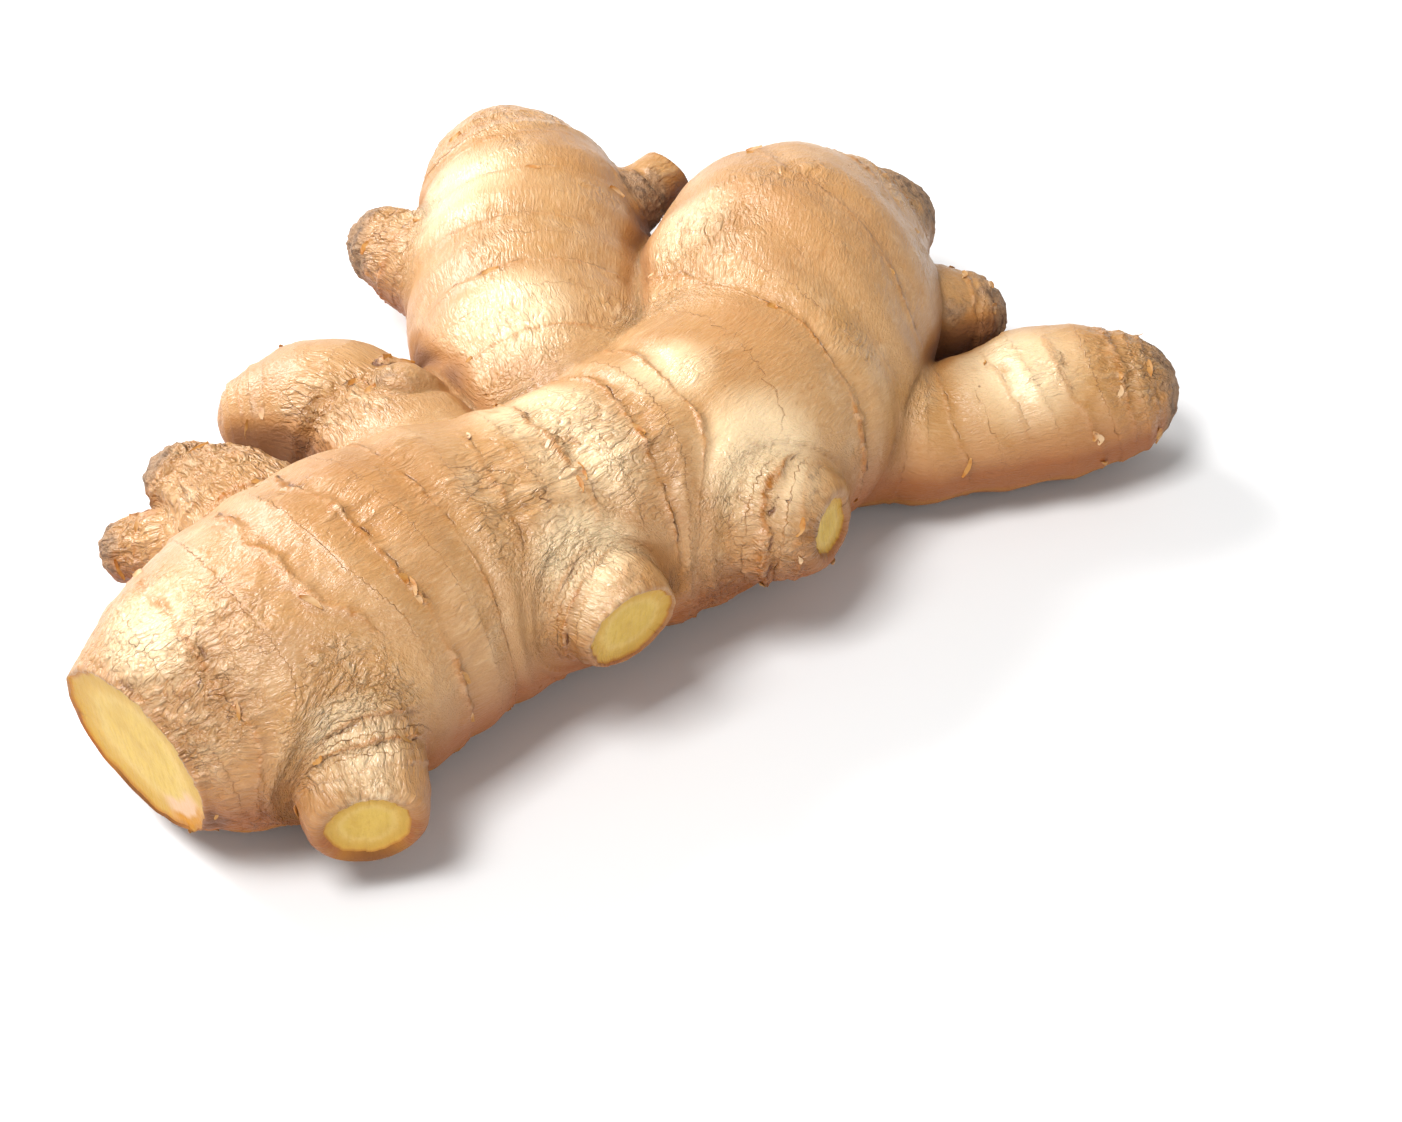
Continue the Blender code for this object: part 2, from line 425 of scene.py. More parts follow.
# %% Growth at any place
def grown(place):
    """For each place: growth length, offset from the centre line, the way the finger grows,
    finger weights and distance to the skin."""
    place = place * UNFLATTEN[:3]
    total = np.zeros(len(place))
    along = np.zeros(len(place))
    around, way = np.zeros((2, len(place), 3))
    belongs = {}
    nearest = np.full(len(place), 1e9)
    for name, path in paths.items():
        tilt = np.array(RING_TILT.get(name, (0, 0, 0)), float)
        walked = started[name]
        share = np.zeros(len(place))
        last = len(path) - 2
        for number, (start, end) in enumerate(zip(path, path[1:])):
            reach = end[:3] - start[:3]
            length = np.linalg.norm(reach)
            away = place - start[:3]
            free = away @ reach / length ** 2
            t = np.clip(free, 0, 1)
            gap = np.linalg.norm(away - t[:, None] * reach, axis=1)
            gap -= start[3] + t * (end[3] - start[3])
            t = np.clip(free, -2 if number == 0 else 0, 3 if number == last else 1)
            offset = away - t[:, None] * reach
            weight = np.exp(-np.clip(gap, -8, 60) / BLEND)
            total += weight
            share += weight
            along += weight * (walked + t * length + offset @ tilt)
            around += weight[:, None] * offset
            way += weight[:, None] * reach / length
            nearest = np.minimum(nearest, gap)
            walked += length
        belongs[name] = share
    belongs = {name: share / total for name, share in belongs.items()}
    return along / total, around / total[:, None], way / total[:, None], belongs, nearest


# %% Mesh measures: neighbours, normals and smoothing
def pairs(mesh):
    """The two ends of every edge."""
    ends = np.empty(len(mesh.edges) * 2, np.int32)
    mesh.edges.foreach_get("vertices", ends)
    return ends.reshape(-1, 2)


def averaged(values, ends, rounds):
    """Values smoothed over the mesh: each round moves them halfway to their neighbours."""
    count = np.bincount(ends.ravel(), minlength=len(values)).clip(1)
    values = np.array(values, float)
    columns = values.reshape(len(values), -1)
    for _ in range(rounds):
        for column in columns.T:
            summed = (np.bincount(ends[:, 0], column[ends[:, 1]], len(column))
                      + np.bincount(ends[:, 1], column[ends[:, 0]], len(column)))
            column += (summed / count - column) / 2
    return columns.reshape(values.shape)


def outward(mesh):
    """The normals of a mesh's points, one row each."""
    normals = np.empty(len(mesh.vertices) * 3)
    mesh.vertex_normals.foreach_get("vector", normals)
    return normals.reshape(-1, 3)


def store(mesh, name, values):
    """Keeps numbers or vectors on the mesh as an attribute that materials can read."""
    kind, field = ("FLOAT", "value") if values.ndim == 1 else ("FLOAT_VECTOR", "vector")
    if name in mesh.attributes:
        mesh.attributes.remove(mesh.attributes[name])
    attribute = mesh.attributes.new(name, kind, "POINT")
    attribute.data.foreach_set(field, np.ascontiguousarray(values, np.float32).ravel())

# %% [markdown]
# ## Where the rings, folds and dry ends are
# A ring is the scar of a leaf scale. Rings stand 12 to 20 mm apart on the fat lobes and close up
# towards the tips, and they aren't quite level or even. Dry, corky skin sits on old tips, and some
# skin is crumpled like silk paper. These places are part of this root's character, so they are
# listed, in mm.

# The pale spots are not the root's own colour: they mark where highlights are painted.
# %% Rings, dry ends and crumpled places
STEM = ("mother_lobe", "crown", "right_lobe")     # these follow each other as one stem
RINGS = {              # growth length from the finger's own base, and how strong the ring is
    "stem": [(13, 0.6), (21, 0.8), (31, 1.0), (40.5, 0.8), (53, 0.7), (66, 0.5), (77, 0.9),
             (91, 1.0), (100, 0.8), (126, 1.0), (142, 0.15), (157, 0.5), (172, 0.7), (180, 0.8)],
    "side_arm": [(20, 0.35), (30, 0.4), (44, 0.3), (53, 0.4), (59, 0.55), (66, 0.4)],
    "left_lobe": [(3, 0.6), (19, 0.6), (33, 0.25), (47, 0.25), (58, 0.4), (66, 0.6), (72, 0.5)],
    "front_stub": [(4, 0.8), (9, 1.0), (13, 1.0), (17.5, 0.6)],
    "middle_stub": [(4, 0.5), (9, 0.7), (13, 1.3), (18, 0.6)],
    "crown_stub": [(9.5, 0.5), (15, 1.3), (18.5, 0.6), (23, 0.9)],
    "rear_lobe": [(21, 1.0), (33, 0.3), (40, 0.6), (46, 0.5)],
    "rear_bud": [(8, 1.0), (15, 0.4), (21, 0.5), (26, 0.6)],
    "rear_nub": [(5, 0.8), (9, 0.8), (13, 0.6)],
    "left_bud": [(2, 0.5), (7, 0.8), (12, 0.6)],
    "right_bud": [(4, 0.8), (10, 0.5), (15, 0.6)],
    "cut_bud": [(3, 0.8), (8, 0.9)],
    "notch_knob": [(3, 0.6)]}
DRY_ENDS = [           # place, radius, strength of dry corky skin
    ((44, 58, 24), 9, 1.0), ((-54, 53, 20), 8, 1.0), ((62, 37, 18), 8, 0.8),
    ((90, 17, 14), 11, 0.7), ((-83, -17, 26), 7, 0.6), ((-91, -27, 16), 6, 0.6),
    ((-41, 78, 20), 7, 0.6), ((-3, 60, 25), 7, 0.8), ((-42, -4, 34), 5, 0.4),
    ((32, -26, 24), 5, 0.5), ((-76, -84, 26), 6, 0.5), ((52, 32, 22), 5, 0.7)]
CRUMPLED = [           # place, radius, strength of crumpled skin
    ((-70, -80, 33), 12, 1.0), ((-78, -72, 32), 10, 0.9), ((-64, -74, 42), 8, 0.6),
    ((-60, -84, 14), 9, 0.7), ((-22, -42, 38), 10, 0.9), ((-9, -31, 42), 12, 1.0),
    ((-14, -48, 34), 9, 0.8), ((-8, -53, 28), 8, 0.6), ((-74, -22, 30), 13, 1.0),
    ((-88, -28, 20), 10, 1.0), ((-47, -80, 28), 10, 1.0), ((-44, -86, 22), 7, 0.7),
    ((-25, 4, 38), 10, 0.5), ((8, 24, 42), 10, 0.8), ((0, 12, 40), 9, 0.5),
    ((18, -38, 16), 11, 0.9), ((24, -34, 24), 7, 0.7), ((14, -32, 30), 7, 0.5),
    ((-50, 47, 22), 11, 0.7), ((-52, -8, 30), 9, 0.8), ((-28, 78, 30), 11, 0.5),
    ((-30, 34, 38), 7, 0.3), ((-45, -50, 50), 10, 0.25), ((84, 14, 22), 8, 0.7),
    ((38, 50, 30), 9, 0.8)]
HIGHLIGHT_SPOTS = [               # place, radius, strength of a painted highlight
    ((-18, -23, 43), 8, 1.0), ((-10, -33, 42), 8, 0.7), ((19, -27, 37), 9, 1.0),
    ((3, -14, 44), 6, 0.7), ((-10, -49, 35), 7, 1.0), ((-6, -56, 30), 5, 0.6),
    ((-75, -71, 38), 8, 0.8), ((-44, -84, 28), 6, 0.9), ((-41, -90, 22), 4, 0.7),
    ((-36, 50, 34), 10, 0.6), ((-24, 8, 40), 9, 0.7), ((6, 30, 42), 7, 0.7),
    ((64, 10, 26), 9, 0.8)]
TANNED = [             # place, radius, strength of browner skin
    ((28, 30, 48), 18, 0.7), ((16, -6, 46), 12, 0.8), ((-46, -50, 48), 14, 1.0),
    ((-56, -62, 44), 10, 0.6), ((-12, 60, 34), 10, 0.7)]
BRUISES = [            # place, radius, strength of skin that went brown
    ((-67, -84, 15), 5, 1.0), ((-72, -80, 28), 3, 0.5), ((40, 55, 30), 6, 0.7),
    ((20, -36, 14), 5, 0.5), ((-55, -88, 6), 5, 0.5)]

SPOTS = {"dry": DRY_ENDS, "crumpled": CRUMPLED, "bruised": BRUISES, "pale": HIGHLIGHT_SPOTS,
         "tanned": TANNED}
print("rings:", sum(map(len, RINGS.values())), "spots:", sum(map(len, SPOTS.values())))

# %% Measures of a place: spots, rings, undersides and nooks
def spots(place, listed):
    """1 in the middle of the listed places, fading to 0 a little past their radius."""
    strength = np.zeros(len(place))
    for middle, radius, power in listed:
        gap = np.linalg.norm(place - np.array(middle, float), axis=1) / radius
        strength = np.maximum(strength, power * np.clip(1.5 - gap, 0, 1))
    return strength


def ring_gaps(along, belongs):
    """Signed distance to the nearest ring, past it being positive, and its strength."""
    shares = {"stem": sum(belongs[name] for name in STEM)}
    shares |= {name: share for name, share in belongs.items() if name not in STEM}
    table = np.array(list(shares.values()))
    owner = table.argmax(0)
    gap, firm = np.zeros((2, len(along)))
    for number, name in enumerate(shares):
        mine = owner == number
        rings, strengths = np.array(RINGS[name], float).T
        offsets = along[mine, None] - started.get(name, 0) - rings
        nearest = np.abs(offsets).argmin(1)
        gap[mine] = offsets[np.arange(mine.sum()), nearest]
        firm[mine] = strengths[nearest]
    # Rings fade where two fingers meet and neither clearly owns the skin.
    return gap, firm * np.clip((table.max(0) - 0.6) / 0.35, 0, 1)


def undersides(place, normal):
    """1 on skin that faces the ground near it, which light reaches last."""
    low = np.clip((30 - place[:, 2]) / 22, 0, 1)
    return low * np.clip(0.75 - normal[:, 2], 0, 1)


def nooks(place, normal, reach):
    """How closed in each place is: 0 on an open bulge, towards 1 deep in a fork."""
    ahead = place + normal * reach
    gap = grown(ahead)[4]
    floor_gap = ahead[:, 2] + reach * 0.3
    return np.clip(1 - np.minimum(gap, floor_gap) / reach, 0, 1)


# %% Lay the growth coordinates on the skin
NOOK_REACH = 9.0       # how far a nook is looked for, straight out from the skin
SOFTEN = 4             # rounds of smoothing


def describe(mesh):
    """Stores on the mesh all that the relief and the materials read."""
    place = places(mesh)
    ends = pairs(mesh)
    normal = averaged(outward(mesh), ends, 2)
    along, around, way, belongs, _ = grown(place)
    gap, firm = ring_gaps(along, belongs)
    exact = {"along": along, "around": around, "way": way, "ring_gap": gap}
    exact |= {name: spots(place, listed) for name, listed in SPOTS.items()}
    softened = {"ring_firm": firm, "under": undersides(place, normal),
                "nook": nooks(place, normal, NOOK_REACH)}
    for name, values in exact.items():
        store(mesh, name, values)
    for name, values in softened.items():
        store(mesh, name, averaged(values, ends, SOFTEN))
    print("stored:", ", ".join([*exact, *softened]))


describe(skin)

# %% [markdown]
# ## Relief of the skin
# On a real root the relief has three scales: each lobe swells a little between its rings, a ring
# is a low lip with a fine groove behind it, and the skin between rings is drawn into folds that
# run along the finger. Noise that is stretched along the growth gives such folds. A second tree
# moves the skin along its normals; the finest scale is left to the material.

# %% The relief tree
TRIANGLES = 186000     # the cut faces take the rest of the 200,000 that a piece may have


def relief_tree():
    """Moves the skin out and in by lumps, swellings, ring lips, folds and cork. Lengths in mm."""
    graph = Graph(bpy.data.node_groups.new("skin_relief", "GeometryNodeTree"))
    surface = graph.input("Skin", "NodeSocketGeometry", None)
    look = graph.input("Material", "NodeSocketMaterial", None)
    lip, groove, swell, lump, fold, cork = (
        graph.input(name, "NodeSocketFloat", 1.0) for name in (
            "Lip height", "Groove depth", "Swelling", "Lumps", "Fold depth", "Cork depth"))

    position = graph.node("GeometryNodeInputPosition")
    along, around = graph.stored("along"), graph.stored("around", "FLOAT_VECTOR")
    wander = (graph.noise(position, 14.0, 2.0) - 0.5) * 3.6
    ripple = (graph.noise(position, 2.4, 2.0) - 0.5) * 1.2
    gap = graph.stored("ring_gap") + wander + ripple
    uneven = graph.noise(around, 9.0, 2.0, along=along / 9.0).step(0.3, 0.62)
    ring = graph.stored("ring_firm") * (uneven * 0.7 + 0.3)
    rise = gap.step(-5.0, -0.3) * gap.step(0.5, 0.0)
    fall = gap.step(0.0, 0.5) * gap.step(4.5, 0.6)
    lips = (rise * 0.22 + gap.bell(-0.35, 0.4) * 0.9) * lip - fall * groove
    between = abs(gap).step(0.0, 7.0) * swell
    patch = graph.noise(position, 18.0, 1.0).step(0.48, 0.64) * 0.22 + graph.stored("crumpled")
    near_ring = abs(gap).step(6.0, 1.0) * 0.5
    wide = abs(graph.noise(around, 2.8, 1.0, 0.5, along=along / 17.0) - 0.5) * 5.0
    fine = abs(graph.noise(around, 1.5, 1.0, 0.5, along=along / 9.0) - 0.5) * 2.6
    folds = (wide * 0.7 + fine * 1.2 - 0.7) * (patch + near_ring * ring).smaller(1.3)
    corky = (graph.noise(position, 2.6, 3.0, 0.6) - 0.5) * graph.stored("dry") * 2.0
    lumps = graph.noise(position, 26.0, 1.0) + graph.noise(position, 11.0, 1.0) * 0.5 - 0.75
    height = lumps * lump + between + lips * ring + folds * fold + corky * cork
    upward = graph.node("ShaderNodeSeparateXYZ", {}, [position], "Z")
    height = height * upward.step(-1.0, 5.0)       # the patches it rests on stay flat

    for name, value in (("ring_gap", gap), ("ring_firm", ring)):
        surface = graph.node("GeometryNodeStoreNamedAttribute", {"data_type": "FLOAT"},
                             {"Geometry": surface, "Name": name, "Value": value})
    offset = graph.stretched(graph.node("GeometryNodeInputNormal"), height)
    moved = graph.node("GeometryNodeSetPosition", {}, {"Geometry": surface, "Offset": offset})
    return graph.finish("Skin", moved, look)


skin = collected(skin, relief_tree(), {
    "Lip height": 0.62, "Groove depth": 0.25, "Swelling": 0.7, "Lumps": 1.5, "Fold depth": 0.65,
    "Cork depth": 1.2, "Material": ginger_skin}, keep=TRIANGLES / (2 * len(skin.polygons)))
report("skin with relief:", skin)

# %% [markdown]
# ## Knife cuts
# Five ends were cut off before the root was sold, which shows the flesh. The skin is sliced along
# each cut plane and the hole is closed with rings of faces that sink a little below the skin, as
# fresh flesh does when it dries. How far a point of the cut is from the middle is kept, because
# the flesh is paler and ringed towards the middle.

# %% Slice and close
CUTS = {               # middle, the way it faces, reach of the knife, share that is bare flesh
    "mother_cut": ((-80, -76.5, 17.5), (-0.69, -0.715, -0.10), 22, 0.95),
    "front_cut": ((-42, -90, 14), (0.22, -0.97, -0.06), 12, 0.71),
    "middle_cut": ((-0.5, -54, 24), (0.61, -0.78, -0.12), 12, 0.88),
    "crown_cut": ((31.5, -28, 21), (0.89, -0.45, 0.10), 12, 0.62),
    "bud_cut": ((2.5, 71, 23.5), (0.63, 0.70, 0.35), 7, 0.85)}
SHOULDER = [(0.2, 0.62), (0.45, 0.95), (0.75, 1.0), (1.0, 0.55)]   # way to the flesh, rise
ROUND = 0.8            # how far the skin curls over the edge of a cut
# Rings of flesh faces, as shares of the way from the middle to the rim.
CAP_RINGS = [0.985, 0.955, 0.91, 0.82, 0.7, 0.57, 0.43, 0.29, 0.15]
SINK = 0.5             # how far the flesh sinks below the rim


def end_beyond(body, middle, facing, reach):
    """The points of the end that the knife takes off, found by walking out from its tip."""
    near = [v for v in body.verts if (v.co - middle).length < reach]
    tip = max(near, key=lambda v: (v.co - middle).dot(facing))
    found, waiting = {tip: True}, [tip]
    while waiting:
        v = waiting.pop()
        for edge in v.link_edges:
            other = edge.other_vert(v)
            if other not in found and (other.co - middle).dot(facing) > 0:
                found[other] = True
                waiting.append(other)
    return list(found)


def walked_rim(edges):
    """The points of a closed rim, in order round it."""
    first = edges[0].verts[0]
    loop, edge = [first], edges[0]
    left = set(edges)
    while True:
        left.discard(edge)
        point = edge.other_vert(loop[-1])
        if point is first:
            return loop
        loop.append(point)
        edge = next(e for e in point.link_edges if e in left)


def frayed(count):
    """An uneven factor near 1 for each point of a rim."""
    turn = np.arange(count) * math.tau / count
    return 1 + 0.025 * np.sin(3 * turn + 1) + 0.02 * np.sin(8 * turn) + 0.015 * np.sin(19 * turn)


def joined(body, corners, material):
    """One smooth face of skin (material 0) or flesh (material 1)."""
    face = body.faces.new(corners)
    face.material_index = material
    face.smooth = True


def close_with_rings(body, loop, facing, across, share):
    """Curls the skin over the rim of a cut, then closes it with flesh."""
    centre = sum((v.co for v in loop), Vector()) / len(loop)
    shares = share * frayed(len(loop))
    levels = [(1 - inward * (1 - shares), rise * ROUND, 1.0, 0) for inward, rise in SHOULDER]
    edge = SHOULDER[-1][1] * ROUND
    levels += [(shares * scale, edge - SINK * (1 - scale ** 12) * (0.65 + 0.35 * scale), scale, 1)
               for scale in CAP_RINGS]
    outer = loop
    for scales, rise, value, material in levels:
        inner = []
        for rim, scale in zip(loop, scales):
            new = body.verts.new(centre + (rim.co - centre) * scale + facing * rise, rim)
            new[across] = value
            inner.append(new)
        for i, v in enumerate(outer):
            j = (i + 1) % len(outer)
            joined(body, (v, outer[j], inner[j], inner[i]), material)
        outer = inner
    tip = body.verts.new(sum((v.co for v in outer), Vector()) / len(outer))
    tip[across] = 0.01     # not nought, which would stand for skin
    for i, v in enumerate(outer):
        joined(body, (v, outer[(i + 1) % len(outer)], tip), 1)


# %% Cut the ends off
def sliced(mesh):
    """Cuts the ends off and closes them. across is 0 on skin and grows to the rim on flesh."""
    body = bmesh.new()
    body.from_mesh(mesh)
    across = body.verts.layers.float.new("across")
    for middle, facing, reach, share in CUTS.values():
        facing = Vector(facing).normalized()
        middle = Vector(middle) - facing * ROUND
        beyond = end_beyond(body, middle, facing, reach)
        # dict.fromkeys keeps one of each and their order, so every run gives the same mesh.
        faces = dict.fromkeys(face for v in beyond for face in v.link_faces)
        edges = dict.fromkeys(edge for face in faces for edge in face.edges)
        verts = dict.fromkeys(v for face in faces for v in face.verts)
        parts = [*verts, *edges, *faces]
        bmesh.ops.bisect_plane(body, geom=parts, dist=1e-5, plane_co=middle, plane_no=facing,
                               clear_outer=True)
        rim = [edge for edge in body.edges if edge.is_boundary]
        close_with_rings(body, walked_rim(rim), facing, across, share)
    bmesh.ops.recalc_face_normals(body, faces=body.faces)
    result = bpy.data.meshes.new(NODE)
    for material in mesh.materials:
        result.materials.append(material)
    body.to_mesh(result)
    body.free()
    return result


def collars(place):
    """1 on the skin right beside a cut, fading over a few mm."""
    collar = np.zeros(len(place))
    for middle, facing, reach, _ in CUTS.values():
        away = place - np.array(middle, float)
        facing = np.array(facing) / np.linalg.norm(facing)
        close = np.linalg.norm(away, axis=1) < reach * 1.2
        collar = np.maximum(collar, close * np.clip(1 + away @ facing / 2.6, 0, 1))
    return collar


skin = sliced(skin)
store(skin, "collar", collars(places(skin)))
report("skin after the knife:", skin)
# %% [markdown]
# ## Setting it down
# A root rests on a few flat patches. The skin was grown a little below the table and with relief
# on top, so it is fitted to the solid model's box and all that is left below the table is pressed
# flat. Cutting it there would do too, but pressing keeps the surface closed.

# %% Rest it on its flat patches and fit the solid model's box
def settled(mesh):
    """Fits the mesh to the solid model's box, in metres, and returns how much it shrank."""
    place = places(mesh)
    low, high = place.min(0), place.max(0)
    low[2] = max(low[2], 0.0)
    place = (place - low) / (high - low) * (root_high - root_low) + root_low
    place[:, 2] = place[:, 2].clip(0)
    mesh.vertices.foreach_set("co", (place * MM).ravel())
    mesh.update()
    mesh.shade_smooth()
    return (high - low) / (root_high - root_low)


print("fitted by", settled(skin).round(4))

# %% [markdown]
# ## Skin
# Ginger skin is a thin, silky, tan layer. It has a satin shine, its rings carry ochre lips with
# dark threads, and old ends go grey and corky. Shade is painted golden brown in forks and low on
# the sides, and highlights are painted cream on fold crests and pale spots. The pattern reads the
# growth coordinates, so fibres run along every finger.

# %% Colours
def tint(red, green, blue):
    """A colour from 0 to 255 as the eye sees it, turned into the light that it sends back."""
    def light(level):
        level /= 255
        return level / 12.92 if level < 0.04045 else ((level + 0.055) / 1.055) ** 2.4
    return (light(red), light(green), light(blue), 1.0)


TAN = tint(196, 150, 99)           # the ground of the skin, with ROSY clouds
ROSY = tint(184, 138, 90)
CREAM = tint(226, 192, 150)        # pale blotches, fibres, ring lips and flakes; painted highlights on fold crests
HIGHLIGHT_CREAM = tint(240, 210, 166)        # painted highlights on the pale spots
GOLD = tint(188, 134, 66)          # warm patches and flakes; painted shade low on the sides
DUSKY = tint(180, 124, 68)         # skin that has browned
OCHRE = tint(162, 104, 38)         # dark fibres, ring bands and cut edges; painted shade in creases and nooks
AMBER = tint(152, 80, 0)           # painted shade on the undersides
RING_GOLD = tint(176, 108, 32)     # lips of the rings
BROWN = tint(110, 62, 24)          # threads, cracks, specks and bruises; painted shade deep in forks
CORK = tint(158, 122, 88)          # dry ends, mottled with GREY_CORK
GREY_CORK = tint(104, 78, 56)
print("tan as light:", [round(level, 3) for level in TAN])

# %% Helpers for the materials
def mixed(graph, amount, first, second):
    """first where amount is 0, second where it is 1."""
    node = graph.tree.nodes.new("ShaderNodeMix")
    node.data_type = "RGBA"
    graph.feed(node.inputs["Factor"], amount)
    for name, colour in (("A", first), ("B", second)):
        socket = next(s for s in node.inputs if s.name == name and s.type == "RGBA")
        graph.feed(socket, colour)
    return Wire(graph, next(s for s in node.outputs if s.type == "RGBA"))


def attribute(graph, name, out="Fac"):
    """What the mesh carries under this name, in a material."""
    return graph.node("ShaderNodeAttribute", {"attribute_name": name}, (), out)


def opened(material):
    """A material's graph, its main shader, and the place on the object in mm."""
    material.use_nodes = True
    graph = Graph(material.node_tree)
    place = graph.node("ShaderNodeTexCoord", {}, (), "Object")
    shader = material.node_tree.nodes["Principled BSDF"]
    return graph, shader, graph.stretched(place, 1 / MM)


def bump(graph, shader, height):
    """Relief too fine for the mesh. The height is in mm."""
    values = {"Strength": 1.0, "Distance": MM, "Height": height}
    graph.feed(shader.inputs["Normal"], graph.node("ShaderNodeBump", {}, values))


def let_light_in(shader, share, reach, depth):
    """Subsurface scattering: how much, how far each colour reaches, and how deep in mm."""
    shader.inputs["Subsurface Weight"].default_value = share
    shader.inputs["Subsurface Radius"].default_value = reach
    shader.inputs["Subsurface Scale"].default_value = depth * MM

# %% [markdown]
# ## How the skin is painted
# The skin's look is built in layers, from the ground colour up, and each layer mixes a paint over
# the last one by a mask. A mask is either a measure that the mesh carries or a noise. Painting by
# hand would look as good, but masks keep the size of the pattern right wherever the skin is seen.

# %% What the skin's material reads
SKIN_MEASURES = ("ring_gap", "ring_firm", "nook", "under", "collar", *SPOTS)


def skin_readings(graph, place):
    """The stored measures and the noises that several parts of the skin's look share."""
    read = SimpleNamespace(place=place, along=attribute(graph, "along"))
    read.around = around = attribute(graph, "around", "Vector")
    for name in SKIN_MEASURES:
        setattr(read, name, attribute(graph, name))
    read.fibres = graph.noise(around, 0.4, 2.0, 0.6, along=read.along / 2.6)
    read.clouds = graph.noise(place, 24.0, 3.0, 0.55)
    read.blotches = graph.noise(place, 7.0, 3.0, 0.6)
    patches = graph.noise(place, 14.0, 1.0).step(0.56, 0.7)
    read.patch = (patches * 0.4 + read.crumpled).smaller(1.0)
    return read


# %% Tan ground with fibres and clouds
def ground_colour(graph, read):
    """Tan and rosy clouds, cream and ochre fibres, painted shade in gold low down, browner spots,
    and painted highlights in cream on the pale spots.
    """
    strands = graph.noise(read.around, 1.3, 2.0, 0.55, along=read.along / 12.0)
    warm = graph.noise(read.place, 15.0, 3.0, 0.6)
    upward = graph.node("ShaderNodeSeparateXYZ", {}, [read.place], "Z")
    # Painted highlight: pale cream on the listed spots where the light gleams.
    painted_highlight = (read.pale * 1.4).clamped() * read.blotches.step(0.2, 0.45)
    colour = mixed(graph, read.clouds.step(0.38, 0.64), TAN, ROSY)
    for amount, paint in (
            (read.blotches.step(0.5, 0.75) * 0.4, CREAM), (warm.step(0.5, 0.7) * 0.45, GOLD),
            (read.fibres.step(0.5, 0.78) * 0.4, CREAM), (read.fibres.step(0.5, 0.22) * 0.35, OCHRE),
            # The upward mix on this line is painted shade: gold low on the sides.
            (strands.step(0.45, 0.25) * 0.3, OCHRE), (upward.step(36.0, 12.0) * 0.5, GOLD),
            (read.tanned * (read.clouds * 0.6 + 0.3), DUSKY), (painted_highlight * 0.95, HIGHLIGHT_CREAM)):
        colour = mixed(graph, amount, colour, paint)
    return colour

# %% [markdown]
# ## Silk folds
# Where the root has dried a little, its skin creases like silk paper. Creases half a millimetre
# wide would take millions of faces, so they are noise that is stretched along the growth, pushed
# about a little so that no crease runs straight. The same noise lifts the bump, paints shade into
# the creases and paints highlights onto the crests between them.

# %% Silk folds
def silk_folds(graph, read, colour):
    """Fine creases that flow round the finger, with painted shade in them and painted highlights on
    the crests between. Their heights are kept for the bump.
    """
    sway = graph.noise(read.place, 9.0, 2.0, out="Color")
    sway = graph.vectors("SUBTRACT", sway, (0.5, 0.5, 0.5))
    flowing = graph.vectors("ADD", read.around, graph.stretched(sway, 5.0))
    read.silk = abs(graph.noise(flowing, 1.9, 2.0, 0.5, along=read.along / 13.0) - 0.5)
    read.crinkle = abs(graph.noise(flowing, 0.9, 2.0, 0.55, along=read.along / 5.0) - 0.5)
    # Painted shade: ochre down the creases. The next mix paints cream highlights on the crests.
    crease = (read.silk.step(0.03, 0.0) + read.crinkle.step(0.03, 0.0) * 0.4) * read.patch
    colour = mixed(graph, crease * 0.55, colour, OCHRE)
    return mixed(graph, read.silk.step(0.06, 0.2) * read.patch * 0.5, colour, CREAM)

# %% [markdown]
# ## Rings
# A ring is where a leaf scale came off: a thin ragged lip, lighter than the skin, and a dark
# thread in the groove. The mesh carries the distance to its nearest ring, so a narrow bell curve
# of that distance draws the line, and noise frays it and breaks it up.

# %% Growth rings
def growth_rings(graph, read, colour):
    """A ragged golden lip on each ring, with a broken dark thread beside it."""
    wobble = (graph.noise(read.place, 1.1, 3.0, 0.65) - 0.5) * 1.1
    near = read.ring_gap + wobble
    ragged = graph.noise(read.around, 1.6, 2.0, 0.6, along=read.along / 3.0).step(0.42, 0.58)
    broken = graph.noise(read.around, 4.0, 2.0, along=read.along / 4.0).step(0.52, 0.62)
    read.lip = near.bell(-0.3, 0.42) * read.ring_firm * (ragged * 0.5 + 0.5)
    read.thread = near.bell(0.4, 0.2) * read.ring_firm * broken
    lip_colour = mixed(graph, ragged * 0.45, RING_GOLD, CREAM)
    colour = mixed(graph, abs(near).step(3.0, 0.4) * read.ring_firm * 0.35, colour, OCHRE)
    colour = mixed(graph, (read.lip * 1.6).clamped(), colour, lip_colour)
    return mixed(graph, (read.thread * 1.1).clamped(), colour, BROWN)

# %% [markdown]
# ## Painted shade and wear
# Forks and undersides get painted shade in amber and brown, cut edges brown within hours, and
# old tips dry to grey cork. All of these are soft spots whose edge is broken up by blotches,
# because a clean edge would look painted on.

# %% Painted shade below and in nooks, cut edges and bruises
def shaded_places(graph, read, colour):
    """Painted shade: amber below, ochre in nooks, brown in deep forks. Also ochre cut edges and
    brown bruises.
    """
    # Painted shade: amber on the undersides.
    below = (read.under * (read.blotches * 0.8 + 1.2)).clamped() * 0.95
    frayed_edge = read.collar * graph.noise(read.place, 1.6, 3.0, 0.65).step(0.4, 0.6)
    bruise = (read.bruised + (read.blotches - 0.5) * 1.2).step(0.35, 0.8)
    for amount, paint in ((below, AMBER), (frayed_edge * 0.6, OCHRE), (bruise * 0.75, BROWN),
                          # Painted shade: ochre in nooks and brown deep in forks.
                          (read.nook.step(0.12, 0.5) * 0.8, OCHRE),
                          (read.nook.step(0.4, 0.95) * 0.75, BROWN)):
        colour = mixed(graph, amount, colour, paint)
    return colour


